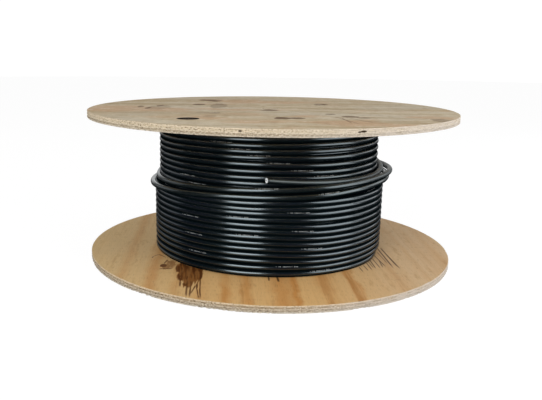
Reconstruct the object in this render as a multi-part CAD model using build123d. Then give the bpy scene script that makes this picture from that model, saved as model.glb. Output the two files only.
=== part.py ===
from build123d import *
import math
import os

# A plywood cable drum that stands on its lower flange, with a black cable wound between its flanges.
# The origin is the centre of the lower flange's underside and +Z is the drum's axis.
# The side that shows the cable's cut end faces -Y. All lengths are in millimetres.

# Flanges
flange_diameter = 700
flange_thickness = 12.5
traverse = 257
arbor_hole_diameter = 35
tie_off_hole_diameter = 38
tie_off_hole_edge_distance = 93
tie_off_hole_angle = -121.6

# Board barrel, which stands in a round groove of each flange
barrel_diameter = 332
barrel_wall = 8
barrel_seat_depth = 4
barrel_seat_clearance = 0.3

# Tie bolts, with flat heads above and hexagon nuts below, all let into the plywood
bolt_count = 4
bolt_first_angle = 47
bolt_diameter = 8
bolt_to_barrel = 12
bolt_hole_clearance = 0.5
head_diameter = 20
head_thickness = 2
head_recess = 0.5
recess_clearance = 0.5
nut_across_corners = 15
nut_thickness = 5
thread_clearance = 0.1

# Cable
cable_diameter = 10.3
turn_gap = 0.15
full_layers = 5
part_layer_turns = 14
part_layer_lift = 0.6
groove_depth_share = 0.26
cable_sides = 8

# Route of the cable's last turns, from its cut end on. Each place has its angle round the drum in
# degrees, counted from -Y towards +X, then two shares of the cable's diameter: how far it is lifted
# off the full layers, and how far it lies above the part layer
last_turns_route_shares = [
    (-1, 0.0, 2.17),
    (14, 0.0, 1.8),
    (30, 0.0, 1.6),
    (48, 0.0, 1.55),
    (66, 0.0, 1.67),
    (84, 0.05, 2.0),
    (102, 0.05, 2.35),
    (120, 0.0, 2.45),
    (140, 0.0, 2.35),
    (160, 0.0, 2.1),
    (180, 0.0, 1.8),
    (202, 0.0, 1.45),
    (224, 0.0, 1.1),
    (246, 0.05, 0.78),
    (268, 0.1, 0.6),
    (290, 0.1, 0.57),
    (312, 0.05, 0.57),
    (334, 0.0, 0.57),
    (356, 0.05, 0.6),
    (374, 0.35, 0.65),
    (390, 0.85, 0.82),
    (406, 1.1, 1.05),
    (423, 1.3, 1.2),
    (440, 1.42, 1.35),
    (457, 1.35, 1.5),
    (473, 1.1, 1.57),
    (489, 0.8, 1.45),
    (505, 0.68, 1.4),
    (522, 0.5, 1.05),
    (541, 0.78, 0.45),
    (562, 1.08, -0.2),
    (583, 1.08, -0.75),
    (604, 1.08, -1.3),
    (622, 1.08, -1.75),
    (640, 1.08, -1.72),
    (659, 1.08, -1.45),
    (679, 1.08, -1.1),
    (700, 1.08, -0.95),
    (720, 1.08, -0.88),
    (738, 1.08, -0.7),
    (755, 1.1, -0.3),
    (772, 0.95, 0.05),
    (790, 0.76, 0.3),
    (809, 0.42, 0.48),
    (829, 0.1, 0.57),
    (848, 0.0, 0.57),
    (866, 0.0, 0.57),
]
arc_run_share = 0.45
strand_clearance = 0.3

cut_overrun = 1

barrel_radius = barrel_diameter / 2
barrel_bore_radius = barrel_radius - barrel_wall
bolt_place_radius = barrel_bore_radius - bolt_to_barrel
tie_off_hole_place_radius = flange_diameter / 2 - tie_off_hole_edge_distance
cable_radius = cable_diameter / 2
lower_face = flange_thickness
upper_face = lower_face + traverse
overall_height = upper_face + flange_thickness
turn_pitch = cable_diameter + turn_gap
layer_rise = math.sqrt(cable_diameter**2 - (turn_pitch / 2) ** 2)
groove_depth = groove_depth_share * cable_diameter
full_layer_radius = barrel_radius + (full_layers - 1) * layer_rise + cable_diameter
part_layer_radius = full_layer_radius + cable_diameter + part_layer_lift
part_layer_top = lower_face + part_layer_turns * turn_pitch
bolt_hole_diameter = bolt_diameter + bolt_hole_clearance
recess_diameter = head_diameter + recess_clearance


def disc(diameter, bottom, top):
    """A round solid on the drum's axis between two heights."""
    return Pos(0, 0, bottom) * Cylinder(diameter / 2, top - bottom, align=(Align.CENTER, Align.CENTER, Align.MIN))


def bolt_places(height):
    """The places of the tie bolts at one height."""
    step = 360 / bolt_count
    angles = [math.radians(bolt_first_angle + index * step) for index in range(bolt_count)]
    return [
        Pos(bolt_place_radius * math.cos(angle), bolt_place_radius * math.sin(angle), height)
        for angle in angles
    ]


def flange():
    """A plywood disc with its inner face up, bored for the arbor and grooved for the barrel."""
    blank = disc(flange_diameter, 0, flange_thickness)
    blank -= disc(arbor_hole_diameter, -cut_overrun, flange_thickness + cut_overrun)
    seat_bottom = flange_thickness - barrel_seat_depth
    seat_outer = disc(barrel_diameter + barrel_seat_clearance, seat_bottom, flange_thickness + cut_overrun)
    seat_inner = disc(
        2 * barrel_bore_radius - barrel_seat_clearance,
        seat_bottom - cut_overrun,
        flange_thickness + 2 * cut_overrun,
    )
    return blank - (seat_outer - seat_inner)


def bored_for_bolts(body, recess):
    """A flange in its place, with a hole and a recess for each tie bolt."""
    hole = disc(bolt_hole_diameter, -cut_overrun, overall_height + cut_overrun)
    for place in bolt_places(0):
        body -= place * hole
        body -= place * recess
    return body


def make_lower_flange():
    """The flange on the floor, with a round recess for each nut."""
    nut_space = disc(nut_across_corners + recess_clearance, -cut_overrun, head_recess + nut_thickness)
    return bored_for_bolts(flange(), nut_space)


def make_upper_flange():
    """The flange on top, turned over, with a recess for each bolt head and the tie-off hole."""
    body = Pos(0, 0, overall_height) * Rot(180, 0, 0) * flange()
    angle = math.radians(tie_off_hole_angle)
    tie_off_hole = disc(tie_off_hole_diameter, upper_face - cut_overrun, overall_height + cut_overrun)
    body -= Pos(
        tie_off_hole_place_radius * math.cos(angle),
        tie_off_hole_place_radius * math.sin(angle),
        0,
    ) * tie_off_hole
    seat = overall_height - head_recess - head_thickness
    return bored_for_bolts(body, disc(recess_diameter, seat, overall_height + cut_overrun))


def make_barrel():
    """The board tube, its ends in the grooves of the flanges."""
    bottom = lower_face - barrel_seat_depth
    top = upper_face + barrel_seat_depth
    tube = disc(barrel_diameter, bottom, top)
    return tube - disc(2 * barrel_bore_radius, bottom - cut_overrun, top + cut_overrun)


def tie_bolt():
    """A bolt with a flat round head, which stands on the axis until it is placed."""
    seat = overall_height - head_recess - head_thickness
    return disc(bolt_diameter, head_recess, seat) + disc(head_diameter, seat, overall_height - head_recess)


def bolt_nut():
    """A hexagon nut round the bolt's lower end, which stands on the axis until it is placed."""
    outline = Pos(0, 0, head_recess) * RegularPolygon(nut_across_corners / 2, 6)
    return extrude(outline, nut_thickness) - disc(bolt_diameter + thread_clearance, -cut_overrun, overall_height)


def layer_outline(bottom, turns, outer_radius):
    """Outer outline of a layer: a crown for each turn, with a groove on each side of it."""
    outline = [(outer_radius - groove_depth, bottom)]
    for turn in range(turns):
        outline.append((outer_radius, bottom + (turn + 0.5) * turn_pitch))
        outline.append((outer_radius - groove_depth, bottom + (turn + 1) * turn_pitch))
    return outline


def make_cable_winding():
    """The neatly wound cable as one turned solid, wider where the part layer lies on the full layers."""
    full_turns = math.floor((upper_face - part_layer_top) / turn_pitch)
    outline = [(barrel_radius, lower_face)]
    outline += layer_outline(lower_face, part_layer_turns, part_layer_radius)
    outline.append((full_layer_radius - groove_depth, part_layer_top))
    outline += layer_outline(upper_face - full_turns * turn_pitch, full_turns, full_layer_radius)
    outline.append((barrel_radius, upper_face))
    section = Plane.XZ * make_face(Polyline(*outline, close=True))
    return revolve(section, Axis.Z)


def route_points(route):
    """The corners of a route round the drum, pushed out so that its straight runs keep the radius."""
    points = []
    for index, (angle, lift, rise) in enumerate(route):
        neighbours = route[max(index - 1, 0)], route[min(index + 1, len(route) - 1)]
        half_step = math.radians(max(abs(place[0] - angle) for place in neighbours)) / 2
        turn = math.radians(angle)
        radius = full_layer_radius + cable_radius + strand_clearance + lift * cable_diameter
        corner = radius / math.cos(half_step)
        height = part_layer_top + rise * cable_diameter
        points.append(Vector(corner * math.sin(turn), -corner * math.cos(turn), height))
    return points


def make_cable_last_turns():
    """The cable's last turns, of few sides, along straight runs and tangent arcs."""
    points = route_points(last_turns_route_shares)
    runs = [end - start for start, end in zip(points, points[1:])]
    radii = []
    for before, after in zip(runs, runs[1:]):
        half_turn = math.radians(before.get_angle(after)) / 2
        radii.append(arc_run_share * min(before.length, after.length) / math.tan(half_turn))
    path = FilletPolyline(*points, radius=radii)
    start = Plane(origin=points[0], z_dir=runs[0])
    section = start * RegularPolygon(cable_radius, cable_sides)
    tube = sweep(section, path=path)
    print("smallest radius of the last turns", round(min(radii), 1), "length", round(path.length, 1))
    print("tube volume over section times length", round(tube.volume / (section.area * path.length), 5))
    return tube


def write(name, solid):
    """Write one piece to its own file."""
    export_step(solid, os.path.join("parts", name + ".step"))


os.makedirs("parts", exist_ok=True)
write("lower_flange", make_lower_flange())
write("upper_flange", make_upper_flange())
write("barrel", make_barrel())
write("cable_winding", make_cable_winding())
write("cable_last_turns", make_cable_last_turns())
for number, place in enumerate(bolt_places(0), 1):
    write(f"tie_bolt_{number}", place * tie_bolt())
    write(f"bolt_nut_{number}", place * bolt_nut())
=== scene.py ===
"""A plywood cable drum on its lower flange, wound with black cable whose last turns cross over the rest."""
import math

import bpy
import bmesh
import numpy as np
from mathutils import Matrix, Vector
from mathutils.geometry import delaunay_2d_cdt


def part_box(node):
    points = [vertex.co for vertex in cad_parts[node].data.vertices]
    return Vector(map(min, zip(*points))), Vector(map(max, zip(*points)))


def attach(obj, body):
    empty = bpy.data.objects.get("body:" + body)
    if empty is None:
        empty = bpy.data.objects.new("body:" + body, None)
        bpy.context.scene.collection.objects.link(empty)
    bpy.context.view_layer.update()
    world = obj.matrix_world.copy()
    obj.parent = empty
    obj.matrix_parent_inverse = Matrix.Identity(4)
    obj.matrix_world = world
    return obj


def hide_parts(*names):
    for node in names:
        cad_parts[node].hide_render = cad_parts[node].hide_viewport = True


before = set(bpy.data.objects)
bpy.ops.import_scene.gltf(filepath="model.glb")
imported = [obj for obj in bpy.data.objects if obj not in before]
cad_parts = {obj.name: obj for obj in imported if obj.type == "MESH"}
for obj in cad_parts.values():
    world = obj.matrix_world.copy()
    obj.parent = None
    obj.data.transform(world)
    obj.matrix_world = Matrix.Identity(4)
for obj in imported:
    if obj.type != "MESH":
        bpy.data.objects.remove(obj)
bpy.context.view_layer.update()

# Flanges, in metres. Outline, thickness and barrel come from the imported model.
lower_low, lower_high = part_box("lower_flange")
upper_low, upper_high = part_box("upper_flange")
barrel_low, barrel_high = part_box("barrel")
flange_radius = lower_high.x
barrel_radius = barrel_high.x
barrel_wall = 0.008
barrel_seat_clearance = 0.0003
arbor_hole_radius = 0.0175
tie_off_hole_radius = 0.019
tie_off_hole_distance = 0.257
tie_off_hole_angle = -121.6
bolt_place_radius = 0.146
bolt_angles = (47, 137, 227, 317)
bolt_hole_radius = 0.00425
head_recess_radius = 0.01025
head_recess_depth = 0.0025
nut_recess_radius = 0.00775
nut_recess_depth = 0.0055
bolt_hole_sides = 48
round_hole_sides = 64
groove_sides = 240

# Edge of the flanges
ply_count = 5
rim_columns = 900
rows_per_ply = 4
rim_corner = 0.0005
ply_setback = 0.0003
rim_roughness = 0.0002
chip_depth = 0.0028
chip_threshold = 0.9
chip_range = 1.4
chip_plies = 1.6

# Cable. The radii of its turns are to the middle of the cable.
cable_radius = 0.00515
full_turn_radius = 0.20665
part_turn_radius = 0.21755
core_clearance = 0.0006
layer_rise_share = 0.86
core_rows = 217
core_columns = 160
# Heights of the neat turns at the left, in front and at the right, in the order in which they are wound.
lower_turn_heights = np.array([
    (0.1434, 0.1417, 0.1418), (0.1340, 0.1318, 0.1320), (0.1245, 0.1240, 0.1218), (0.1135, 0.1137, 0.1107),
    (0.1029, 0.1034, 0.0992), (0.0920, 0.0931, 0.0886), (0.0818, 0.0829, 0.0782), (0.0722, 0.0726, 0.0680),
    (0.0620, 0.0622, 0.0578), (0.0517, 0.0518, 0.0474), (0.0414, 0.0412, 0.0372), (0.0294, 0.0293, 0.0278),
    (0.0184, 0.0184, 0.0178),
])
upper_turn_heights = np.array([
    (0.1510, 0.1500, 0.1500), (0.1627, 0.1606, 0.1606), (0.1729, 0.1731, 0.1712), (0.1832, 0.1834, 0.1815),
    (0.1940, 0.1942, 0.1917), (0.2037, 0.2060, 0.2032), (0.2144, 0.2177, 0.2161), (0.2251, 0.2276, 0.2280),
    (0.2358, 0.2377, 0.2386), (0.2465, 0.2480, 0.2490), (0.2570, 0.2580, 0.2588), (0.2642, 0.2642, 0.2642),
])
recessed_turn_radius = 0.1985
# Angles between which a turn eases to its height at the left, in front and at the right.
turn_jogs = ((150, 280), (-75, -20), (-10, 35))
height_waver = 0.00008
radius_waver = 0.00006
turns_end_gap = 30
dive_angles = 60
# How far each layer is moved along x.
upper_lean = -0.0035
lower_lean = -0.0015

# Last turns, from the cut end on: angle from -Y towards +X in degrees, then the lift off the full
# layers and the height above the part layer, both as shares of the cable's diameter.
last_turns_route_shares = np.array([
    (-1, 0.0, 2.17), (14, 0.0, 1.8), (30, 0.0, 1.6), (48, -0.05, 1.52), (66, -0.2, 1.5), (84, -0.3, 1.85),
    (102, -0.3, 2.2), (120, -0.28, 2.4), (140, -0.2, 2.35), (160, -0.1, 2.1), (180, 0.0, 1.8),
    (202, 0.0, 1.45), (224, 0.0, 1.05), (246, 0.0, 0.5), (264, -0.05, -0.1), (280, -0.08, -0.45),
    (300, -0.05, -0.3), (322, 0.0, 0.05), (345, 0.0, 0.35), (358, 0.05, 0.5), (374, 0.35, 0.7),
    (390, 0.85, 1.0), (406, 1.05, 1.3), (423, 1.22, 1.44), (440, 1.42, 1.4), (457, 1.4, 1.25),
    (473, 1.15, 1.2), (489, 0.85, 1.1), (505, 0.7, 1.0), (522, 0.5, 0.85), (541, 0.78, 0.4),
    (562, 1.08, -0.3), (583, 1.08, -1.05), (602, 1.08, -1.55), (620, 1.08, -1.7), (640, 1.1, -1.68),
    (659, 1.05, -1.4), (679, 0.85, -1.08), (690, 0.5, -0.9), (700, 0.12, -0.76), (712, 0.0, -0.7),
    (722, 0.15, -0.68), (738, 0.75, -0.5), (755, 1.05, -0.05), (772, 1.05, 0.32), (790, 1.02, 0.46),
    (809, 0.7, 0.5), (829, 0.2, 0.5), (848, 0.0, 0.4), (866, 0.0, 0.2),
])
strand_radius = 0.21725
part_layer_top = 0.1588
last_turns_step = 1.6
last_turns_smoothing = 8
neat_turns_step = 2.25
cable_sides = 16
strand_sides = 24
cut_slant = 28
insulation_radius = 0.0044
conductor_radius = 0.0011

# Printed dashes on the cable: angle and height where each row of them starts. The offset is the distance
# round the cable from its outermost line to the middle of a row, and it is negative above that line.
upper_marks = (
    (-29.1, 0.2377), (-19.3, 0.2276), (-9.7, 0.2177), (-0.1, 0.2055), (10.1, 0.1932), (20.6, 0.1820),
    (-48.2, 0.1729), (-40.5, 0.1627), (150.0, 0.2267), (160.0, 0.2048), (171.0, 0.1825), (-150.0, 0.2474),
    (-138.0, 0.2165), (105.0, 0.2370),
)
lower_marks = (
    (8.5, 0.1232), (-17.8, 0.1137), (-42.6, 0.1030), (10.4, 0.0912), (-14.8, 0.0829), (-40.6, 0.0723),
    (14.4, 0.0597), (-37.7, 0.0414), (4.4, 0.0290), (18.7, 0.0181), (-46.2, 0.1434), (120.0, 0.1218),
    (131.0, 0.0886), (142.0, 0.0578), (-152.0, 0.1002), (-140.0, 0.0693), (-128.0, 0.0384),
)
last_turns_marks = ((-6.1, 0.1640), (21.3, 0.1560))
mark_offset = -0.0042
mark_row_length = 0.04
dash_pitch = 0.0024

# Light and colour of the studio
white = (1.0, 1.0, 1.0, 1.0)
white_strength = 1.06
white_share = 0.87
floor_radius = 9.0
floor_level = -0.0004
ambient_strength = 0.5
front_reflection = 0.024
floor_reflection = 0.055


def full_turn(count):
    """Equally spaced angles round a circle."""
    return np.arange(count) * (2 * math.pi / count)


def unit(vectors):
    """Vectors divided by their lengths."""
    return vectors / np.linalg.norm(vectors, axis=-1, keepdims=True)


def ease(values):
    """3 t^2 - 2 t^3 between 0 and 1, level outside."""
    values = np.clip(values, 0, 1)
    return values * values * (3 - 2 * values)


def round_noise(angles, fewest, most, seed):
    """Sum of cosines with random whole numbers of waves round the circle and random phases."""
    random = np.random.default_rng(seed)
    terms = 24
    waves = random.integers(fewest, most, terms)
    phases = random.uniform(0, 2 * math.pi, terms)
    return np.cos(angles[..., None] * waves + phases).sum(-1) / math.sqrt(terms / 2)


def grid_faces(rows, columns, close_rows=False):
    """Quads between neighbouring rows and columns of a grid whose columns close on themselves."""
    row = np.arange(rows if close_rows else rows - 1)[:, None]
    column = np.arange(columns)[None, :]
    next_row = (row + 1) % rows
    next_column = (column + 1) % columns
    corners = (
        row * columns + column,
        row * columns + next_column,
        next_row * columns + next_column,
        next_row * columns + column,
    )
    return np.stack(corners, axis=-1).reshape(-1, 4)


def turned(profile, columns, centre=(0.0, 0.0)):
    """Points of a profile of (radius, height) turned about an upright axis."""
    angles = full_turn(columns)
    radius, height = np.array(profile, float).T
    return np.stack([
        centre[0] + radius[:, None] * np.cos(angles),
        centre[1] + radius[:, None] * np.sin(angles),
        np.broadcast_to(height[:, None], (len(radius), columns)),
    ], axis=-1).reshape(-1, 3)


class Shell:
    """Surfaces gathered into one mesh, each with the number of its finish."""

    def __init__(self):
        self.points = []
        self.faces = []
        self.finishes = []
        self.count = 0

    def add(self, points, faces, finish=0):
        """One more surface, from its points and its faces."""
        self.points.append(np.asarray(points, float).reshape(-1, 3))
        self.faces += (np.asarray(faces) + self.count).tolist()
        self.finishes += [finish] * len(faces)
        self.count += len(self.points[-1])

    def add_turned(self, profile, columns, centre=(0.0, 0.0), finish=0):
        """One more turned surface."""
        self.add(turned(profile, columns, centre), grid_faces(len(profile), columns), finish)

    def make(self, name, materials, smooth_finishes, joined=False):
        """The mesh object. Joined surfaces share their points and have their normals turned outwards."""
        mesh = bpy.data.meshes.new(name)
        mesh.from_pydata(np.concatenate(self.points).tolist(), [], self.faces)
        mesh.polygons.foreach_set("material_index", np.array(self.finishes, np.int32))
        if joined:
            shell = bmesh.new()
            shell.from_mesh(mesh)
            bmesh.ops.remove_doubles(shell, verts=shell.verts, dist=0.000004)
            bmesh.ops.recalc_face_normals(shell, faces=shell.faces)
            shell.to_mesh(mesh)
            shell.free()
        finishes = np.zeros(len(mesh.polygons), np.int32)
        mesh.polygons.foreach_get("material_index", finishes)
        mesh.polygons.foreach_set("use_smooth", np.isin(finishes, smooth_finishes))
        for material in materials:
            mesh.materials.append(material)
        mesh.update()
        piece = bpy.data.objects.new(name, mesh)
        bpy.context.scene.collection.objects.link(piece)
        return piece


def flat_face(outline, holes, height):
    """A flat sheet inside an outline and outside round holes: its points and its triangles."""
    loops = [outline] + [turned([(radius, height)], sides, centre) for centre, radius, sides in holes]
    places = np.concatenate(loops)[:, :2]
    edges = []
    start = 0
    for loop in loops:
        numbers = start + np.arange(len(loop))
        edges += np.stack([numbers, np.roll(numbers, -1)], axis=1).tolist()
        start += len(loop)
    sheet = delaunay_2d_cdt([Vector(place) for place in places.tolist()], edges, [], 1, 1e-8)
    flat = np.array([tuple(place) for place in sheet[0]])
    triangles = np.array(sheet[2])
    middles = flat[triangles].mean(axis=1)
    kept = np.ones(len(triangles), bool)
    inside_share = 0.996
    for centre, radius, sides in holes:
        kept &= np.linalg.norm(middles - centre, axis=1) > inside_share * radius
    points = np.column_stack([flat, np.full(len(flat), height)])
    return points, triangles[kept]


def rim(bottom, top, seed, chipped):
    """The ragged edge of a flange, as rows from its bottom up: each ply set back a little, with roughness
    from noise over angle and row, and chips where slow noise round the bottom edge is high."""
    random = np.random.default_rng(seed)
    angles = full_turn(rim_columns)
    thickness = top - bottom
    rows = [0.0, rim_corner / thickness]
    for ply in range(ply_count):
        rows += [(ply + (step + 0.5) / rows_per_ply) / ply_count for step in range(rows_per_ply)]
    rows += [1 - rim_corner / thickness, 1.0]
    levels = np.sort(np.array(rows))[:, None]
    plies = np.clip((levels * ply_count).astype(int), 0, ply_count - 1)
    setback = ply_setback * (plies % 2) * (1 + 0.8 * round_noise(angles, 3, 60, seed))
    coarse = np.stack([round_noise(angles, 20, 160, seed + 10 + index) for index in range(ply_count)])
    rough = rim_roughness * (0.6 * coarse[plies[:, 0]] + random.normal(0, 0.7, (len(levels), rim_columns)))
    slow = round_noise(angles, 2, 30, seed + 1) + 0.9 * round_noise(angles, 110, 380, seed + 2)
    from_edge = np.clip(1 - levels * ply_count / chip_plies, 0, 1)
    chips = chipped * chip_depth * np.clip(slow - chip_threshold, 0, chip_range) / chip_range * from_edge
    top_chips = 0.25 * chip_depth * np.clip(np.roll(slow, rim_columns // 3) - 1.3, 0, 1)
    chips = chips + top_chips * np.clip((levels - 1) * ply_count + 1, 0, 1)
    inset = np.clip(setback, 0, None) + np.abs(rough) + chips
    inset[0] += rim_corner
    inset[-1] += rim_corner
    radius = flange_radius - inset
    points = np.stack([
        radius * np.cos(angles),
        radius * np.sin(angles),
        np.broadcast_to(bottom + levels * thickness, radius.shape),
    ], axis=-1)
    return points


def place_at(distance, angle):
    """A place round the axis, at an angle in degrees from +X towards +Y."""
    turn = math.radians(angle)
    return distance * math.cos(turn), distance * math.sin(turn)


def flange(name, bottom, top, turned_over, materials, seed, chipped):
    """A plywood disc: ragged rim, two flat faces, bored for arbor and bolts, grooved for the barrel."""
    inner, outer = (bottom, top) if turned_over else (top, bottom)
    way = 1 if inner > outer else -1
    edge = rim(bottom, top, seed, chipped)
    outlines = {bottom: edge[0], top: edge[-1]}
    recess_radius = head_recess_radius if turned_over else nut_recess_radius
    recess_floor = outer + way * (head_recess_depth if turned_over else nut_recess_depth)
    bolts = [place_at(bolt_place_radius, angle) for angle in bolt_angles]
    tie_off = place_at(tie_off_hole_distance, tie_off_hole_angle)
    arbor_hole = ((0.0, 0.0), arbor_hole_radius, round_hole_sides)
    tie_off_holes = [(tie_off, tie_off_hole_radius, round_hole_sides)] if turned_over else []
    recesses = [(place, recess_radius, bolt_hole_sides) for place in bolts]
    bores = [(place, bolt_hole_radius, bolt_hole_sides) for place in bolts]
    groove_outer = barrel_radius + barrel_seat_clearance / 2
    groove_inner = barrel_radius - barrel_wall - barrel_seat_clearance / 2
    groove_floor = barrel_high.z if turned_over else barrel_low.z
    shell = Shell()
    shell.add(edge, grid_faces(len(edge), rim_columns), 1)
    groove_edge = ((0.0, 0.0), groove_outer, groove_sides)
    shell.add(*flat_face(outlines[outer], [arbor_hole, *tie_off_holes, *recesses], outer))
    shell.add(*flat_face(outlines[inner], [groove_edge, *tie_off_holes], inner))
    inner_disc = turned([(groove_inner, inner)], groove_sides)
    shell.add(*flat_face(inner_disc, [arbor_hole, *bores], inner))
    groove = [
        (groove_outer, inner), (groove_outer, groove_floor),
        (groove_inner, groove_floor), (groove_inner, inner),
    ]
    shell.add_turned(groove, groove_sides, finish=1)
    shell.add_turned([(arbor_hole_radius, outer), (arbor_hole_radius, inner)], round_hole_sides, finish=1)
    for centre, radius, sides in tie_off_holes:
        shell.add_turned([(radius, outer), (radius, inner)], sides, centre, 2)
    for place in bolts:
        step = [
            (recess_radius, outer), (recess_radius, recess_floor),
            (bolt_hole_radius, recess_floor), (bolt_hole_radius, inner),
        ]
        shell.add_turned(step, bolt_hole_sides, place, 1)
    return shell.make(name, materials, [], joined=True)


def slide_average(values, reach):
    """Values averaged over a sliding bell-shaped window, whose ends keep their slope."""
    window = np.hanning(2 * reach + 3)[1:-1]
    padded = np.pad(values, reach, mode="reflect", reflect_type="odd")
    return np.convolve(padded, window / window.sum(), "valid")


def round_path(angles, radii, heights):
    """Points at angles in degrees from -Y towards +X, at their radii and heights."""
    turn = np.radians(angles)
    return np.stack([radii * np.sin(turn), -radii * np.cos(turn), heights], axis=-1)


def stepped(angles, first, levels):
    """A value that eases from one level to the next within the jogs of each turn, and is level between."""
    levels = np.asarray(levels)
    stages = np.concatenate([[first], levels.ravel()])
    starts, ends = np.array(turn_jogs[:levels.shape[1]]).T
    turns = 360 * np.arange(len(levels))[:, None]
    starts = (turns + np.where(starts < turn_jogs[0][0], starts + 360, starts)).ravel()
    ends = (turns + np.where(ends < turn_jogs[0][0], ends + 360, ends)).ravel()
    return stages[0] + (np.diff(stages) * ease((angles[:, None] - starts) / (ends - starts))).sum(-1)


def tube_frame(path):
    """Unit vectors along a path, away from the drum's axis square to it, and sideways."""
    along = unit(np.gradient(path, axis=0))
    outward = path * (1, 1, 0)
    outward = unit(outward - (outward * along).sum(-1, keepdims=True) * along)
    return along, outward, np.cross(along, outward)


def tube(name, path, sides, material, marks, slant=0.0):
    """A round tube along a path: each place plus radius times (cos a outward + sin a sideways). Its UV map
    holds the distance along from the nearest row of dashes and the distance round from its middle line."""
    along, outward, sideways = tube_frame(path)
    round_angles = full_turn(sides) - math.pi
    cosine = np.cos(round_angles)[:, None]
    sine = np.sin(round_angles)[:, None]
    points = path[:, None] + cable_radius * (cosine * outward[:, None] + sine * sideways[:, None])
    points[0] += cable_radius * math.tan(math.radians(slant)) * cosine * along[0]
    shell = Shell()
    shell.add(points, grid_faces(len(path), sides))
    piece = shell.make(name, [material], [0])
    distance = np.concatenate([[0], np.cumsum(np.linalg.norm(np.diff(path, axis=0), axis=1))])
    starts = np.array([
        distance[np.argmin(np.linalg.norm(path - place, axis=1))]
        for place in (round_path(angle, np.linalg.norm(path[0, :2]), height) for angle, height in marks)
    ])
    middles = (distance[1:] + distance[:-1]) / 2
    nearest = starts[np.abs(middles[:, None] - starts - mark_row_length / 2).argmin(axis=1)]
    row_start = distance[:-1] - nearest
    row_end = distance[1:] - nearest
    u = np.stack([row_start, row_start, row_end, row_end], axis=-1)[:, None, :]
    round_distance = cable_radius * (np.arange(sides + 1) * 2 * math.pi / sides - math.pi) - mark_offset
    before, after = round_distance[:-1], round_distance[1:]
    v = np.stack([before, after, after, before], axis=-1)[None]
    shape = (len(path) - 1, sides, 4)
    corners = np.stack([np.broadcast_to(u, shape), np.broadcast_to(v, shape)], axis=-1)
    layer = piece.data.uv_layers.new(name="dashes")
    layer.data.foreach_set("uv", corners.astype(np.float32).ravel())
    return piece


def neat_turns(name, first_height, heights, radii, first_angle, lean, dive, material, marks, seed):
    """A layer of turns side by side. Its height and radius ease from one turn's value to the next, with a
    little noise, and its end sinks below the layer."""
    last_angle = turn_jogs[0][0] - turns_end_gap + 360 * len(heights)
    angles = np.arange(first_angle, last_angle, neat_turns_step)
    height = stepped(angles, first_height, heights)
    radius = stepped(angles, radii[0], np.array(radii)[:, None])
    height = height + height_waver * round_noise(np.radians(angles) / 3, 1, 40, seed)
    radius = radius + radius_waver * round_noise(np.radians(angles) / 3, 1, 60, seed + 1)
    radius = radius - dive * ease((angles - last_angle + dive_angles + 10) / dive_angles)
    path = round_path(angles, radius, height)
    path[:, 0] += lean
    return tube(name, path, cable_sides, material, marks)


def last_turns_path():
    """The route's shares joined by straight lines over the angle and smoothed by a sliding average."""
    route_angles, lifts, rises = last_turns_route_shares.T
    angles = np.arange(route_angles[0], route_angles[-1] + 0.01, last_turns_step)
    lift = slide_average(np.interp(angles, route_angles, lifts), last_turns_smoothing)
    rise = slide_average(np.interp(angles, route_angles, rises), last_turns_smoothing)
    radius = strand_radius + 2 * cable_radius * lift
    return round_path(angles, radius, part_layer_top + 2 * cable_radius * rise)


def cut_end(path, materials):
    """The slanting cut face: jacket ring, insulation with a low dome, and the conductor's rounded end."""
    along, outward, sideways = tube_frame(path)
    rings = [
        (cable_radius, 0.0, 0), (insulation_radius, 0.0, 0), (insulation_radius, 0.0001, 1),
        (0.75 * insulation_radius, 0.0004, 1), (conductor_radius, 0.0005, 1), (conductor_radius, 0.0007, 2),
        (0.6 * conductor_radius, 0.001, 2), (0.02 * conductor_radius, 0.0011, 2),
    ]
    angles = full_turn(strand_sides) - math.pi
    cosine = np.cos(angles)[:, None]
    sine = np.sin(angles)[:, None]
    slope = math.tan(math.radians(cut_slant))
    ring = cosine * outward[0] + sine * sideways[0] + slope * cosine * along[0]
    shell = Shell()
    for outer_ring, inner_ring in zip(rings, rings[1:]):
        rows = [path[0] + radius * ring - ahead * along[0] for radius, ahead, _ in (inner_ring, outer_ring)]
        shell.add(np.stack(rows), grid_faces(2, strand_sides), inner_ring[2])
    return shell.make("cable_cut_end", materials, [0, 1, 2])


def cable_core(material):
    """The layers under the outer turns: half-round bumps a turn apart on a sleeve round the barrel."""
    heights = np.linspace(lower_high.z, upper_low.z, core_rows)
    pitch = 2 * cable_radius
    shoulder = part_layer_top - cable_radius / 2
    upper_radius = full_turn_radius - pitch * layer_rise_share
    outer = np.where(heights < shoulder, full_turn_radius, upper_radius) + cable_radius
    from_middle = np.mod(heights, pitch) - cable_radius
    bump = np.sqrt(np.clip(cable_radius**2 - from_middle**2, 0, None)) - cable_radius
    profile = np.stack([outer + bump - core_clearance, heights], axis=-1)
    inner = barrel_radius + core_clearance / 2
    profile = np.concatenate([profile, [(inner, heights[-1]), (inner, heights[0])]])
    shell = Shell()
    shell.add(turned(profile, core_columns), grid_faces(len(profile), core_columns, close_rows=True))
    return shell.make("cable_inner_layers", [material], [0], joined=True)


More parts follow.
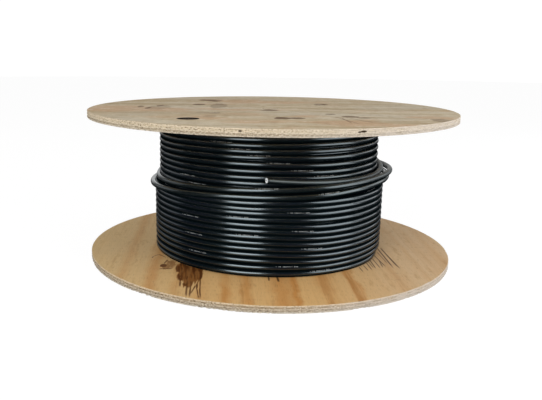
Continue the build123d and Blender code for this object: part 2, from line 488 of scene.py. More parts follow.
class Value:
    """One output of a finish's nodes. Python's operators on it add Math nodes."""

    def __init__(self, tree, socket):
        self.tree = tree
        self.socket = socket

    def node(self, kind, inputs, output=0, **settings):
        """Another node of the same tree: its settings, then the values or links of its inputs."""
        made = self.tree.nodes.new(kind)
        for name, setting in settings.items():
            setattr(made, name, setting)
        for key, source in inputs.items():
            if isinstance(source, Value):
                self.tree.links.new(source.socket, made.inputs[key])
            else:
                made.inputs[key].default_value = source
        return Value(self.tree, made.outputs[output])

    def maths(self, operation, *others):
        """A Math node on this value and others."""
        return self.node("ShaderNodeMath", dict(enumerate((self, *others))), operation=operation)

    def __add__(self, other):
        return self.maths("ADD", other)

    __radd__ = __add__

    def __mul__(self, other):
        return self.maths("MULTIPLY", other)

    __rmul__ = __mul__

    def __sub__(self, other):
        return self.maths("SUBTRACT", other)

    def __rsub__(self, other):
        return self.node("ShaderNodeMath", {0: other, 1: self}, operation="SUBTRACT")

    def __truediv__(self, other):
        return self.maths("DIVIDE", other)

    def __abs__(self):
        return self.maths("ABSOLUTE")

    def rise(self, low, high):
        """0 below low, 1 above high, eased between. It falls where low is the larger."""
        return self.node(
            "ShaderNodeMapRange", {"Value": self, "From Min": low, "From Max": high},
            interpolation_type="SMOOTHSTEP",
        )

    def parts(self):
        """The three parts of a vector."""
        return [self.node("ShaderNodeSeparateXYZ", {0: self}, output) for output in range(3)]

    def joined(self, second, third):
        """A vector of this value and two more."""
        return self.node("ShaderNodeCombineXYZ", {0: self, 1: second, 2: third})

    def noise(self, scale=1.0, detail=2.0, roughness=0.5):
        """Noise over a vector."""
        inputs = {"Vector": self, "Scale": scale, "Detail": detail, "Roughness": roughness}
        return self.node("ShaderNodeTexNoise", inputs)

    def chance(self):
        """A random value for each whole number."""
        return self.node("ShaderNodeTexWhiteNoise", {"W": self}, noise_dimensions="1D")

    def blend(self, first, second):
        """A colour that goes from the first to the second as this value goes from 0 to 1."""
        return self.node("ShaderNodeMix", {0: self, 6: first, 7: second}, 2, data_type="RGBA")

    def tinted(self, amount):
        """This colour times a grey value."""
        return self.node("ShaderNodeVectorMath", {0: self, "Scale": amount}, operation="SCALE")


def glowing(tree, kind, colour, strength):
    """The shader of a new Emission or Background node."""
    made = tree.nodes.new(kind)
    made.inputs["Color"].default_value = colour
    made.inputs["Strength"].default_value = strength
    return made.outputs[0]


def mixed(tree, amount, first, second):
    """A shader that goes from the first to the second as a Value goes from 0 to 1."""
    made = tree.nodes.new("ShaderNodeMixShader")
    for number, source in enumerate((amount.socket, first, second)):
        tree.links.new(source, made.inputs[number])
    return made.outputs[0]


def paint(red, green, blue):
    """A colour from its screen values."""
    screen = np.array((red, green, blue)) / 255
    linear = np.where(screen <= 0.04045, screen / 12.92, ((screen + 0.055) / 1.055) ** 2.4)
    return (*linear.tolist(), 1.0)


class Finish:
    """A material with one main shader, on Object coordinates."""

    def __init__(self, name, roughness, **constants):
        self.material = bpy.data.materials.new(name)
        self.material.use_nodes = True
        self.tree = self.material.node_tree
        self.shader = self.tree.nodes["Principled BSDF"]
        self.shader.inputs["Roughness"].default_value = roughness
        for socket, value in constants.items():
            self.shader.inputs[socket.replace("_", " ")].default_value = value
        coordinates = self.tree.nodes.new("ShaderNodeTexCoord")
        self.place = Value(self.tree, coordinates.outputs["Object"])

    def feed(self, socket, value):
        """Link a value to one of the shader's sockets."""
        self.tree.links.new(value.socket, self.shader.inputs[socket])

    def bump(self, height, distance, strength=1.0):
        """Link a Bump node of a height in metres."""
        inputs = {"Strength": strength, "Distance": distance, "Height": height}
        self.feed("Normal", height.node("ShaderNodeBump", inputs))

    def matte_where(self, amount, colour):
        """Mix in a matte shader without gloss as a value goes from 0 to 1."""
        matte = self.tree.nodes.new("ShaderNodeBsdfPrincipled")
        matte.inputs["Base Color"].default_value = colour
        matte.inputs["Roughness"].default_value = 1.0
        matte.inputs["Specular IOR Level"].default_value = 0.0
        self.show(mixed(self.tree, amount, self.shader.outputs[0], matte.outputs[0]))

    def show(self, surface):
        """Link a shader to the material's output."""
        self.tree.links.new(surface, self.tree.nodes["Material Output"].inputs["Surface"])


def line_mask(x, y, start, end, half_width):
    """1 along a straight line that fades at its sides and thins out at its ends."""
    (start_x, start_y), (end_x, end_y) = start, end
    length = math.hypot(end_x - start_x, end_y - start_y)
    way_x, way_y = (end_x - start_x) / length, (end_y - start_y) / length
    along = ((x - start_x) * way_x + (y - start_y) * way_y) / length
    aside = abs((x - start_x) * way_y - (y - start_y) * way_x)
    ends = along.rise(-0.02, 0.06) * along.rise(1.04, 0.8)
    return aside.rise(half_width, 0.35 * half_width) * ends


def oval_mask(x, y, centre, half_x, half_y, ragged, raggedness):
    """1 inside an oval whose outline a noise value makes ragged."""
    across = (x - centre[0]) / half_x
    along = (y - centre[1]) / half_y
    reach = across * across + along * along + (ragged - 0.5) * raggedness
    return reach.rise(1.15, 0.75)


def sum_of(values):
    """Values added up."""
    total = values[0]
    for value in values[1:]:
        total = total + value
    return total


def wood_fibres(across, along, seed):
    """Noise values stretched along the grain: wide bands, growth lines, fine fibres and short pores."""
    wander = (across * 5).joined(along * 1.6, seed).noise(1.0, 1.0)
    line = across + (wander - 0.5) * 0.035
    bands = (line * 17).joined(along * 0.9, seed + 3.0).noise(1.0, 2.0)
    growth = (line * 95).joined(along * 2.2, seed + 7.0).noise(1.0, 3.0, 0.6)
    fibres = (line * 620).joined(along * 11, seed + 11.0).noise(1.0, 2.0, 0.6)
    pores = (line * 1500).joined(along * 60, seed + 15.0).noise(1.0, 0.0)
    return line, bands, growth, fibres, pores


def lower_veneer():
    """Warm tan veneer, grained from front to back, with orange bands, a resin stain and dark streaks."""
    finish = Finish("plywood_warm_face", 0.62, Specular_IOR_Level=0.25)
    x, y, z = finish.place.parts()
    grain_slope = 0.07
    line, bands, growth, fibres, pores = wood_fibres(x + y * grain_slope, y, 2.0)
    colour = x.rise(-0.3, -0.02).blend(paint(204, 174, 124), paint(208, 168, 112))
    colour = x.rise(0.06, 0.3).blend(colour, paint(204, 174, 134))
    bands_at = (
        (-0.265, 0.010, 0.5), (-0.213, 0.011, 0.7), (-0.172, 0.006, 0.4), (-0.0885, 0.0085, 0.9),
        (-0.0525, 0.0085, 0.75), (0.006, 0.016, 0.8), (0.028, 0.006, 0.9), (0.083, 0.010, 0.6),
        (0.1265, 0.007, 0.9), (0.1365, 0.003, 0.5), (0.206, 0.012, 0.25), (0.262, 0.006, 0.2),
        (0.295, 0.010, 0.2),
    )
    fuzz = (x * 40).joined(y * 22, 14.0).noise(1.0, 3.0, 0.6)
    blurred = x + y * grain_slope + (growth - 0.5) * 0.010 + (bands - 0.5) * 0.03 + (fuzz - 0.5) * 0.024
    named = sum_of([
        abs(blurred - middle).rise(half * 1.9, 0.0) * strength for middle, half, strength in bands_at
    ])
    patchy = (x * 9).joined(y * 6, 4.0).noise(1.0, 3.0)
    warmth = named * patchy.rise(0.2, 0.5) + bands.rise(0.56, 0.72) * 0.4
    colour = (warmth.maths("MINIMUM", 1.0) * 0.8).blend(colour, paint(184, 124, 58))
    mottled = (line * 60).joined(y * 14, 8.0).noise(1.0, 3.0, 0.6)
    colour = (mottled.rise(0.54, 0.72) * 0.5).blend(colour, paint(166, 128, 80))
    late_wood = growth.rise(0.52, 0.62) * growth.rise(0.76, 0.64)
    colour = (late_wood * (0.1 + 0.45 * named.maths("MINIMUM", 1.0))).blend(colour, paint(156, 108, 56))
    grey = (x * 3.2).joined(y * 2.4, 9.0).noise(1.0, 2.0)
    colour = (grey.rise(0.54, 0.72) * 0.4).blend(colour, paint(176, 158, 132))
    colour = colour.tinted(0.93 + 0.1 * (growth - 0.5) + 0.14 * (fibres - 0.5) + 0.16 * mottled)
    ragged = (x * 190).joined(y * 9, 5.0).noise(1.0, 4.0, 0.65)
    blotchy = (x * 60).joined(y * 22, 6.0).noise(1.0, 4.0, 0.65)
    above = z.rise(0.008, 0.011)
    fringed = (x * 400).joined(y * 12, 13.0).noise(1.0, 3.0, 0.6)
    blots_at = (
        ((-0.1530, -0.180), 0.0095, 0.028), ((-0.1445, -0.214), 0.0095, 0.034),
        ((-0.1290, -0.222), 0.0135, 0.057), ((-0.1185, -0.214), 0.0085, 0.042),
        ((-0.1340, -0.262), 0.0050, 0.015), ((-0.1385, -0.190), 0.0090, 0.032),
    )
    stain = sum_of([
        oval_mask(x, y, centre, half_x, half_y, fringed, 3.0) for centre, half_x, half_y in blots_at
    ]).maths("MINIMUM", 1.0)
    small_stain = oval_mask(x, y, (-0.177, -0.166), 0.014, 0.029, blotchy, 4.0) * blotchy.rise(0.4, 0.54)
    core = oval_mask(x, y, (-0.1855, -0.172), 0.0060, 0.0090, blotchy, 3.5)
    drips_at = (
        ((-0.1460, -0.235), (-0.1414, -0.279), 0.0020), ((-0.1335, -0.250), (-0.1256, -0.324), 0.0023),
        ((-0.1265, -0.250), (-0.1200, -0.327), 0.0025), ((-0.1165, -0.270), (-0.1197, -0.309), 0.0018),
        ((-0.1165, -0.260), (-0.1045, -0.332), 0.0016), ((-0.1125, -0.230), (-0.1025, -0.332), 0.0018),
        ((-0.1155, -0.250), (-0.1117, -0.283), 0.0011), ((-0.1380, -0.262), (-0.1305, -0.273), 0.0034),
        ((-0.1580, -0.170), (-0.1535, -0.207), 0.0036), ((-0.1170, -0.185), (-0.1105, -0.237), 0.0030),
        ((-0.2135, -0.129), (-0.2134, -0.119), 0.0014), ((-0.2134, -0.1195), (-0.2048, -0.1055), 0.0014),
        ((-0.2048, -0.1055), (-0.1880, -0.123), 0.0016), ((-0.1900, -0.1905), (-0.1670, -0.185), 0.0030),
        ((-0.1862, -0.160), (-0.1830, -0.135), 0.0018),
    )
    wobbled = x + (ragged - 0.5) * 0.005
    drips = sum_of([line_mask(wobbled, y, *drip) for drip in drips_at])
    brown = (stain + small_stain * 0.8 + core).maths("MINIMUM", 1.0)
    colour = (brown * above * (0.75 + 0.35 * ragged)).blend(colour, paint(124, 76, 30))
    hairs = (x * 280 + y * 40).joined(y * 14, 12.0).noise(1.0, 3.0, 0.6).rise(0.48, 0.58)
    strokes = stain * (hairs * 0.9 + blotchy.rise(0.5, 0.62) * 0.4)
    deep = (drips * 0.85 + core * 0.7 + strokes).maths("MINIMUM", 1.0) * above
    colour = (deep * ragged.rise(0.15, 0.5)).blend(colour, paint(84, 46, 16))
    streaks_at = (
        ((0.2165, -0.02), (0.227, -0.146), 0.0018), ((0.2235, -0.02), (0.236, -0.142), 0.0018),
        ((0.203, -0.07), (0.2145, -0.140), 0.0014), ((0.191, -0.10), (0.195, -0.153), 0.0015),
        ((0.1825, -0.12), (0.187, -0.160), 0.0014), ((0.208, -0.10), (0.2085, -0.145), 0.0012),
        ((0.197, -0.09), (0.2035, -0.150), 0.0012), ((0.175, -0.135), (0.180, -0.165), 0.0012),
        ((0.2125, -0.05), (0.221, -0.12), 0.0010), ((0.166, -0.145), (0.170, -0.172), 0.0012),
        ((0.0035, -0.215), (0.0045, -0.236), 0.0020), ((0.018, -0.214), (0.021, -0.240), 0.0026),
        ((0.228, -0.060), (0.2385, -0.150), 0.0012), ((0.1865, -0.105), (0.1915, -0.150), 0.0010),
    )
    streaks = sum_of([line_mask(x + (bands - 0.5) * 0.003, y, *streak) for streak in streaks_at])
    colour = (streaks.maths("MINIMUM", 1.0) * 0.95 * above).blend(colour, paint(76, 48, 24))
    colour = (pores.rise(0.66, 0.78) * 0.4).blend(colour, paint(112, 78, 42))
    finish.feed("Base Color", colour)
    finish.feed("Roughness", 0.55 + 0.18 * growth - 0.2 * stain * above)
    finish.bump(growth * 0.5 + fibres * 0.5, 0.00035, 0.8)
    return finish.material


def upper_veneer():
    """Greyish tan veneer, grained from side to side, weathered, with brown marks and pinkish patches."""
    finish = Finish("plywood_grey_face", 0.68, Specular_IOR_Level=0.2)
    x, y, z = finish.place.parts()
    line, bands, growth, fibres, pores = wood_fibres(y - x * 0.05, x, 31.0)
    streaky = (line * 30).joined(x * 2.6, 33.0).noise(1.0, 3.0, 0.6)
    colour = bands.rise(0.4, 0.62).blend(paint(188, 173, 146), paint(174, 154, 120))
    colour = (streaky.rise(0.5, 0.68) * 0.8).blend(colour, paint(158, 137, 104))
    colour = (streaky.rise(0.46, 0.34) * 0.6).blend(colour, paint(190, 178, 156))
    colour = (growth.rise(0.54, 0.72) * 0.6).blend(colour, paint(156, 134, 102))
    dusty = (x * 3.0).joined(y * 6.0, 40.0).noise(1.0, 3.0)
    colour = (dusty.rise(0.48, 0.66) * 0.5).blend(colour, paint(180, 170, 150))
    reddish = (x * 5.5).joined(y * 9.0, 44.0).noise(1.0, 3.0)
    colour = (reddish.rise(0.5, 0.62) * 0.6).blend(colour, paint(182, 144, 108))
    mottled = finish.place.noise(48.0, 4.0, 0.7)
    colour = (mottled.rise(0.52, 0.66) * 0.45).blend(colour, paint(150, 126, 92))
    colour = (mottled.rise(0.46, 0.36) * 0.5).blend(colour, paint(200, 188, 164))
    colour = colour.tinted(1.04 + 0.17 * growth + 0.17 * (fibres - 0.5))
    ragged = (x * 60).joined(y * 40, 45.0).noise(1.0, 4.0, 0.65)
    above = z.rise(0.277, 0.281)
    wobbled = y + (ragged - 0.5) * 0.02
    marks_at = (
        ((0.020, -0.188), 0.014, 0.019, 0.85), ((0.044, -0.184), 0.013, 0.013, 0.7),
        ((0.138, -0.142), 0.014, 0.016, 0.55), ((0.158, -0.160), 0.013, 0.012, 0.45),
        ((-0.003, -0.038), 0.017, 0.013, 0.8),
        ((0.105, 0.117), 0.014, 0.019, 0.7), ((-0.147, 0.072), 0.012, 0.016, 0.8),
        ((-0.118, -0.107), 0.017, 0.015, 0.2), ((-0.104, -0.170), 0.012, 0.019, 0.2),
        ((-0.134, 0.196), 0.026, 0.016, 0.6), ((-0.255, 0.000), 0.006, 0.020, 0.5),
        ((-0.236, -0.030), 0.005, 0.022, 0.5), ((-0.222, 0.030), 0.006, 0.020, 0.45),
        ((-0.105, 0.045), 0.018, 0.050, 0.3), ((-0.218, -0.010), 0.022, 0.055, 0.18),
        ((0.285, -0.190), 0.020, 0.030, 0.35),
    )
    marks = sum_of([
        oval_mask(x, wobbled, centre, half_x, half_y, ragged, 3.0) * strength
        for centre, half_x, half_y, strength in marks_at
    ])
    lines_at = (
        ((-0.156, 0.213), (-0.110, 0.152), 0.012), ((0.110, -0.150), (0.139, -0.262), 0.0016),
        ((0.128, -0.158), (0.165, -0.238), 0.0016), ((0.120, -0.170), (0.128, -0.250), 0.0014),
    )
    marks = marks + sum_of([line_mask(x, wobbled, *line_at) for line_at in lines_at]) * 0.6
    colour = (marks * above * 1.4).maths("MINIMUM", 0.95).blend(colour, paint(108, 80, 48))
    colour = (pores.rise(0.64, 0.78) * 0.3).blend(colour, paint(116, 92, 64))
    reach = (x * x + y * y).maths("SQRT")
    # Pale band along the top face's outer edge: partly wear, partly a painted edge highlight.
    wear_and_painted_highlight = reach.rise(0.339, 0.349) * dusty.rise(0.4, 0.6)
    colour = (wear_and_painted_highlight * 0.5).blend(colour, paint(200, 182, 152))
    finish.feed("Base Color", colour)
    finish.feed("Roughness", 0.6 + 0.15 * growth)
    finish.bump(growth * 0.5 + fibres * 0.5, 0.00035, 0.8)
    return finish.material


def ply_edge(name, bottom, tones, glue_tone, dirt, soiled_side, shaded_knot_holes, seed):
    """Sawn ply edge: a tone for each ply from the bottom up, in long fibres or dotted end grain by the way
    that it faces, with dark glue lines, dirt, cracks, knot holes painted dark as the shade in them, and a
    painted highlight that pales the +x side. The soiled side is 1 for +x and -1 for -x. A knot hole has its
    angle from -Y towards +X, its height, half its width and half its height."""
    finish = Finish(name, 0.8, Specular_IOR_Level=0.15)
    x, y, z = finish.place.parts()
    reach = (x * x + y * y).maths("SQRT")
    round_way = y.maths("ARCTAN2", x)
    thickness = lower_high.z - lower_low.z
    wavy = (round_way * 9).joined(0.0, seed).noise(1.0, 2.0)
    ragged = (round_way * 240).joined(0.0, seed + 5.0).noise(1.0, 2.0)
    level = (z - bottom) / thickness * ply_count + (wavy - 0.5) * 0.5 + (ragged - 0.5) * 0.4
    colour = tones[0]
    for ply, tone in enumerate(tones[1:], 1):
        colour = level.rise(ply - 0.12, ply + 0.12).blend(colour, tone)
    number = level.maths("FLOOR")
    crossed = number.maths("MODULO", 2.0)
    facing = abs(y / reach)
    end_grain = crossed * facing + (1 - crossed) * (1 - facing)
    long_fibres = (round_way * 30).joined(z * 2200, seed + 1.0).noise(1.0, 3.0, 0.6)
    dots = (round_way * 260).joined(z * 900, seed + 2.0).noise(1.0, 2.0, 0.7)
    grain = (long_fibres * (1 - end_grain) + dots * end_grain).rise(0.34, 0.66)
    slow = (round_way * 14).joined(number, seed + 3.0).noise(1.0, 3.0).rise(0.34, 0.66)
    blotch = (round_way * 120).joined(z * 420, seed + 4.0).noise(1.0, 3.0, 0.65)
    colour = colour.tinted(0.87 + 0.22 * grain + 0.15 * slow)
    glue_lines = ((1, 0.8), (2, 0.5), (3, 0.35), (4, 0.7))
    glue = sum_of([abs(level - ply).rise(0.2, 0.06) * strength for ply, strength in glue_lines])
    colour = (glue * slow).maths("MINIMUM", 0.85).blend(colour, glue_tone)
    soiled = (x * soiled_side / flange_radius).rise(-0.4, 0.9)
    colour = (blotch.rise(0.47, 0.38) * 0.75).blend(colour, paint(212, 200, 178))
    spots = blotch.rise(0.55, 0.61) * (0.5 + 0.5 * soiled)
    colour = spots.maths("MINIMUM", 0.9).blend(colour, dirt)
    cracks = (round_way * 420).joined(level * 0.8, seed + 6.0).noise(1.0, 1.0).rise(0.66, 0.72)
    colour = (cracks * 0.7).blend(colour, dirt)
    # Painted highlight: the +x side is paled towards a grey white, as the light from that side bleaches it.
    colour = ((x / flange_radius).rise(-0.1, 0.8) * (0.3 + 0.5 * slow)).blend(colour, paint(204, 194, 184))
    from_front = x.maths("ARCTAN2", y * -1)
    # Knot holes are painted dark, as the shade inside them.
    if shaded_knot_holes:
        holes = sum_of([
            oval_mask(
                from_front, z, (math.radians(angle), height),
                half_width / flange_radius, half_height, blotch, 1.4,
            )
            for angle, height, half_width, half_height in shaded_knot_holes
        ])
        colour = holes.maths("MINIMUM", 1.0).blend(colour, paint(52, 38, 22))
    finish.feed("Base Color", colour)
    finish.bump(grain * 0.6 + blotch * 0.4 - glue * 0.5 - cracks * 0.4, 0.0006, 0.9)
    return finish.material


def jacket(name, dark, pale, roughness, dull_roughness, dashed, tail_painted_highlight=False):
    """Black plastic with a faint blue-green tint and fine scuffs, of another roughness along the tail, where
    x and z are high. By its UV map a dashed one has rows of printed dashes, and painted shade where its
    turns
    meet: matte near-black from about each turn's middle down and over its top. One with a painted tail
    highlight keeps its gloss on the upper side and has a pale line along it, painted as a highlight with
    some wear."""
    finish = Finish(name, roughness, IOR=1.6, Specular_IOR_Level=0.88, Specular_Tint=(0.8, 0.94, 1.0, 1.0))
    soft = finish.place.noise(38.0, 3.0)
    tint = finish.place.noise(9.0, 2.0)
    colour = tint.rise(0.35, 0.65).blend(dark, pale)
    scuffs = finish.place.noise(260.0, 3.0, 0.7)
    colour = (scuffs.rise(0.66, 0.84) * 0.1).blend(colour, paint(52, 58, 60))
    x, _, z = finish.place.parts()
    dull = x.rise(-0.01, 0.03) * z.rise(0.170, 0.1735)
    spread = roughness - 0.05 + 0.06 * soft + 0.05 * scuffs
    if dashed:
        map_node = finish.tree.nodes.new("ShaderNodeUVMap")
        map_node.uv_map = "dashes"
        along, aside, _ = Value(finish.tree, map_node.outputs["UV"]).parts()
        spread = spread + aside.rise(0.0061, 0.0088) * 0.45
        # Painted shade: where the turns meet, the gloss gives way to a matte near-black, as if in shade.
        painted_groove_shade = (aside - z.rise(0.08, 0.22) * 0.0008).rise(0.0041, 0.0061)
        if not tail_painted_highlight:
            painted_groove_shade = painted_groove_shade + aside.rise(0.0013, 0.0001)
        cell = along / dash_pitch
        number = cell.maths("FLOOR")
        within = cell - number
        height = 0.0005 + 0.0005 * (number + 71.0).chance()
        inked = number.chance().rise(0.2, 0.26) * within.rise(0.08, 0.2) * within.rise(0.78, 0.62)
        row = along.rise(0.0, 0.0006) * along.rise(mark_row_length - 0.0005, mark_row_length - 0.0015)
        gaps = abs(along - 0.0105).rise(0.0006, 0.0014) * abs(along - 0.0262).rise(0.0006, 0.0014)
        ink = inked * row * gaps * (abs(aside) - height).rise(0.0002, -0.0002)
        finish.matte_where(painted_groove_shade * (1 - ink), paint(9, 17, 20))
        colour = (ink * (0.4 + 0.5 * soft)).blend(colour, paint(186, 190, 190))
        if tail_painted_highlight:
            # A pale line along the tail near its cut end: a painted highlight, with some wear.
            wear_and_painted_highlight = abs(aside - 0.0027).rise(0.0022, 0.0) * x.rise(-0.002, 0.004) * x.rise(0.13, 0.05)
            colour = (wear_and_painted_highlight * z.rise(0.1705, 0.1725) * 0.8).blend(colour, paint(104, 112, 112))
    finish.feed("Base Color", colour)
    finish.feed("Roughness", spread + dull * (dull_roughness - roughness))
    finish.bump(soft, 0.0002, 0.35)
    return finish.material


def speckled(name, first, second, scale, roughness, bump_distance, **constants):
    """Two colours mixed by fine noise, with the same noise as a slight bump."""
    finish = Finish(name, roughness, **constants)
    fine = finish.place.noise(scale, 4.0, 0.6)
    slow = finish.place.noise(scale / 9, 2.0)
    finish.feed("Base Color", (fine.rise(0.35, 0.65) * (0.4 + 0.8 * slow)).blend(first, second))
    finish.feed("Roughness", roughness - 0.08 + 0.16 * fine)
    finish.bump(fine, bump_distance)
    return finish.material


def board_finish():
    """Grey-brown board, wound from strips whose edges run round it as a steep thread."""
    finish = Finish("board", 0.85)
    x, y, z = finish.place.parts()
    turn = y.maths("ARCTAN2", x) / (2 * math.pi)
    strip = (z / 0.11 + turn).maths("FRACT")
    seam = abs(strip - 0.5).rise(0.485, 0.498)
    fine = finish.place.noise(420.0, 4.0, 0.6)
    colour = fine.rise(0.3, 0.7).blend(paint(150, 122, 88), paint(124, 98, 68))
    finish.feed("Base Color", (seam * 0.6).blend(colour, paint(86, 66, 46)))
    finish.bump(fine * 0.5 - seam, 0.0004)
    return finish.material


# Finishes of the pieces
black = (paint(3, 11, 15), paint(7, 11, 20))
jacket_plain = jacket("cable_jacket_plain", *black, 0.19, 0.19, False)
jacket_dashed = jacket("cable_jacket_dashed", *black, 0.19, 0.2, True)
jacket_dull = jacket("cable_jacket_dull", paint(10, 17, 16), paint(14, 19, 20), 0.2, 0.4, True, True)
insulation = speckled("insulation", paint(232, 236, 238), paint(214, 220, 224), 900.0, 0.5, 0.0001)
conductor = speckled(
    "conductor", paint(214, 206, 192), paint(188, 176, 158), 1500.0, 0.35, 0.00005, Metallic=1.0,
)
zinc = speckled("zinc_weathered", paint(140, 124, 100), paint(96, 72, 48), 260.0, 0.7, 0.0002, Metallic=0.4)
bore_dark = speckled("plywood_bore_dark", paint(34, 24, 12), paint(22, 15, 8), 300.0, 0.9, 0.0003)
board = board_finish()
lower_tones = (
    paint(188, 178, 162), paint(154, 140, 120), paint(182, 166, 144), paint(152, 132, 104),
    paint(206, 184, 152),
)
lower_edge = ply_edge(
    "plywood_warm_edge", lower_low.z, lower_tones, paint(122, 102, 74), paint(92, 78, 58), -1, (), 3.0,
)
upper_tones = (
    paint(184, 172, 154), paint(156, 142, 120), paint(196, 182, 158), paint(190, 174, 148),
    paint(202, 186, 160),
)
shaded_knot_holes = ((23.1, 0.2775, 0.0052, 0.0016), (22.0, 0.2768, 0.003, 0.0011), (-7.1, 0.278, 0.0028, 0.0012))
upper_edge = ply_edge(
    "plywood_grey_edge", upper_low.z, upper_tones, paint(122, 104, 80), paint(100, 84, 62), -1, shaded_knot_holes, 23.0,
)

# The pieces
lower_finishes = [lower_veneer(), lower_edge, bore_dark]
upper_finishes = [upper_veneer(), upper_edge, bore_dark]
lower_flange = flange("flange_lower", lower_low.z, lower_high.z, False, lower_finishes, 5, 1.0)
upper_flange = flange("flange_upper", upper_low.z, upper_high.z, True, upper_finishes, 9, 0.5)

strands_path = last_turns_path()
last_turns = tube(
    "cable_crossing_turns", strands_path, strand_sides, jacket_dull, last_turns_marks, cut_slant,
)
cut_face = cut_end(strands_path, [jacket_dull, insulation, conductor])
route_end = last_turns_route_shares[-1, 0] - 720
lower_radii = [part_turn_radius] * len(lower_turn_heights)
lower_turns = neat_turns(
    "cable_lower_turns", strands_path[-1, 2], lower_turn_heights, lower_radii,
    route_end, lower_lean, 0.012, jacket_dashed, lower_marks, 41,
)
upper_radii = [full_turn_radius] * (len(upper_turn_heights) - 1) + [recessed_turn_radius]
upper_turns = neat_turns(
    "cable_upper_turns", upper_turn_heights[0, 0] - 2 * cable_radius, upper_turn_heights, upper_radii,
    200, upper_lean, 0.009, jacket_dashed, upper_marks, 43,
)
inner_layers = cable_core(jacket_plain)

node_finishes = {"barrel": board}
for number in range(1, 5):
    node_finishes[f"tie_bolt_{number}"] = zinc
    node_finishes[f"bolt_nut_{number}"] = zinc
for name, material in node_finishes.items():
    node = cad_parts[name]
    node.data.materials.clear()
    node.data.materials.append(material)

replaced = {
    lower_flange: ("lower_flange", "plywood_warm"),
    upper_flange: ("upper_flange", "plywood_grey"),
    lower_turns: ("cable_winding", "cable_jacket"),
    upper_turns: ("cable_winding", "cable_jacket"),
    inner_layers: ("cable_winding", "cable_jacket"),
    last_turns: ("cable_last_turns", "cable_jacket"),
    cut_face: ("cable_last_turns", "cable_jacket"),
}
for piece, (node_name, slot_name) in replaced.items():
    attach(piece, "root")
    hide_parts(node_name)


def studio_floor():
    """A pale round floor that keeps the drum's soft shadow. The camera sees it nearly white. In reflections
    it is dark, with one bright part at the left and one at the right."""
    shell = Shell()
    shell.add_turned([(radius, floor_level) for radius in (0.001, 0.6, floor_radius)], 96)
    finish = Finish("studio_floor", 0.9, Base_Color=(0.86, 0.86, 0.86, 1.0))
    finish.material.cycles.emission_sampling = "NONE"
    tree = finish.tree
    rays = tree.nodes.new("ShaderNodeLightPath").outputs
    x, y, _ = finish.place.parts()
    turn = x.maths("ARCTAN2", y * -1)
    lit = sum_of([
        turn.rise(first, first + 0.12) * turn.rise(last, last - 0.12) * strength
        for first, last, strength in ((-0.66, -0.06, 3.2), (0.74, 1.6, 2.3))
    ])
    reach = (x * x + y * y).maths("SQRT")
    mirrored = glowing(tree, "ShaderNodeEmission", white, 1.0)
    brightness = floor_reflection + lit * reach.rise(0.45, 0.7)
    tree.links.new(brightness.socket, mirrored.node.inputs["Strength"])
    surface = mixed(tree, Value(tree, rays["Is Glossy Ray"]), finish.shader.outputs[0], mirrored)
    seen = sum_of([Value(tree, rays[name]) for name in ("Is Camera Ray", "Is Transmission Ray")])
    seen = seen.maths("MINIMUM", 1.0) * white_share
    finish.show(mixed(tree, seen, surface, glowing(tree, "ShaderNodeEmission", white, white_strength)))
    floor = shell.make("studio_floor", [finish.material], [])


def studio_world():
    """Even pale light. The camera sees white. Reflections see white behind the drum and near black
    elsewhere."""
    world = bpy.data.worlds.new("studio")
    bpy.context.scene.world = world
    world.use_nodes = True
    tree = world.node_tree
    backdrop = tree.nodes["Background"]
    backdrop.inputs["Color"].default_value = white
    backdrop.inputs["Strength"].default_value = white_strength
    ways = Value(tree, tree.nodes.new("ShaderNodeTexCoord").outputs["Generated"]).parts()
    behind = ways[1].rise(0.7, 1.0)
    rays = tree.nodes.new("ShaderNodeLightPath").outputs
    camera_ray, glossy_ray, through_ray = (
        Value(tree, rays[name]) for name in ("Is Camera Ray", "Is Glossy Ray", "Is Transmission Ray")
    )
    seen = (camera_ray + through_ray + glossy_ray * behind).maths("MINIMUM", 1.0)
    ambient = glowing(tree, "ShaderNodeBackground", white, ambient_strength)
    mirrored = glowing(tree, "ShaderNodeBackground", (0.8, 0.9, 1.0, 1.0), front_reflection)
    surface = mixed(tree, glossy_ray, ambient, mirrored)
    surface = mixed(tree, seen, surface, backdrop.outputs[0])
    tree.links.new(surface, tree.nodes["World Output"].inputs["Surface"])


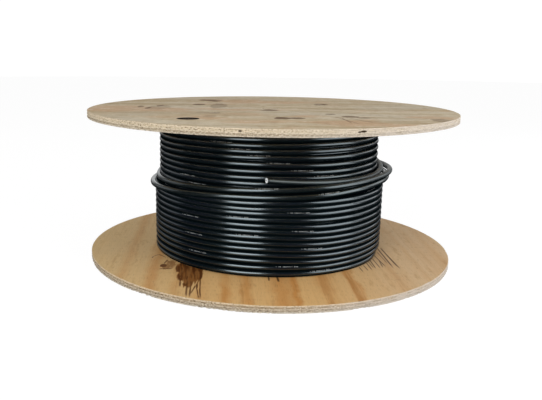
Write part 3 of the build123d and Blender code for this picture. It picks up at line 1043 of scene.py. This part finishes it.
def soft_box(name, azimuth, elevation, distance, width, height, power):
    """A flat lamp that faces the drum, at an azimuth in degrees from -Y towards +X."""
    lamp = bpy.data.lights.new(name, "AREA")
    lamp.shape = "RECTANGLE"
    lamp.size = width
    lamp.size_y = height
    lamp.energy = power
    turn, tilt = math.radians(azimuth), math.radians(elevation)
    away = Vector((math.sin(turn) * math.cos(tilt), -math.cos(turn) * math.cos(tilt), math.sin(tilt)))
    stand = bpy.data.objects.new(name, lamp)
    stand.location = Vector((0.0, 0.0, 0.14)) + away * distance
    stand.rotation_mode = "QUATERNION"
    stand.rotation_quaternion = away.to_track_quat("Z", "Y")
    bpy.context.scene.collection.objects.link(stand)


studio_floor()
studio_world()
soft_box("left_softbox", -21, 23, 2.4, 1.35, 1.65, 36.0)
soft_box("right_softbox", 66, 18, 2.4, 1.9, 1.5, 28.0)
soft_box("far_left_softbox", -112, 14, 2.4, 1.7, 1.25, 3.0)
soft_box("far_right_softbox", 112, 16, 2.4, 1.7, 1.25, 10.0)

# Camera: where the photograph was taken from, in metres and degrees.
camera_distance = 1.31383
camera_height = 0.392
camera_pitch = math.radians(12.5994)
camera_yaw = math.radians(-3.793)
camera_roll = math.radians(0.5615)
forward = Vector((
    math.sin(camera_yaw) * math.cos(camera_pitch),
    math.cos(camera_yaw) * math.cos(camera_pitch),
    -math.sin(camera_pitch),
))
level_right = Vector((math.cos(camera_yaw), -math.sin(camera_yaw), 0.0))
level_up = level_right.cross(forward)
right = level_right * math.cos(camera_roll) + level_up * math.sin(camera_roll)
up = level_up * math.cos(camera_roll) - level_right * math.sin(camera_roll)
lens = bpy.data.cameras.new("camera")
lens.sensor_width = 36.0
lens.lens = 44.546
lens.shift_x = 0.0849
camera = bpy.data.objects.new("camera", lens)
camera.matrix_world = Matrix.Translation((0.0, -camera_distance, camera_height)) @ Matrix(
    (right, up, -forward)
).transposed().to_4x4()
bpy.context.scene.collection.objects.link(camera)
bpy.context.scene.camera = camera
bpy.context.scene.view_settings.view_transform = "Standard"
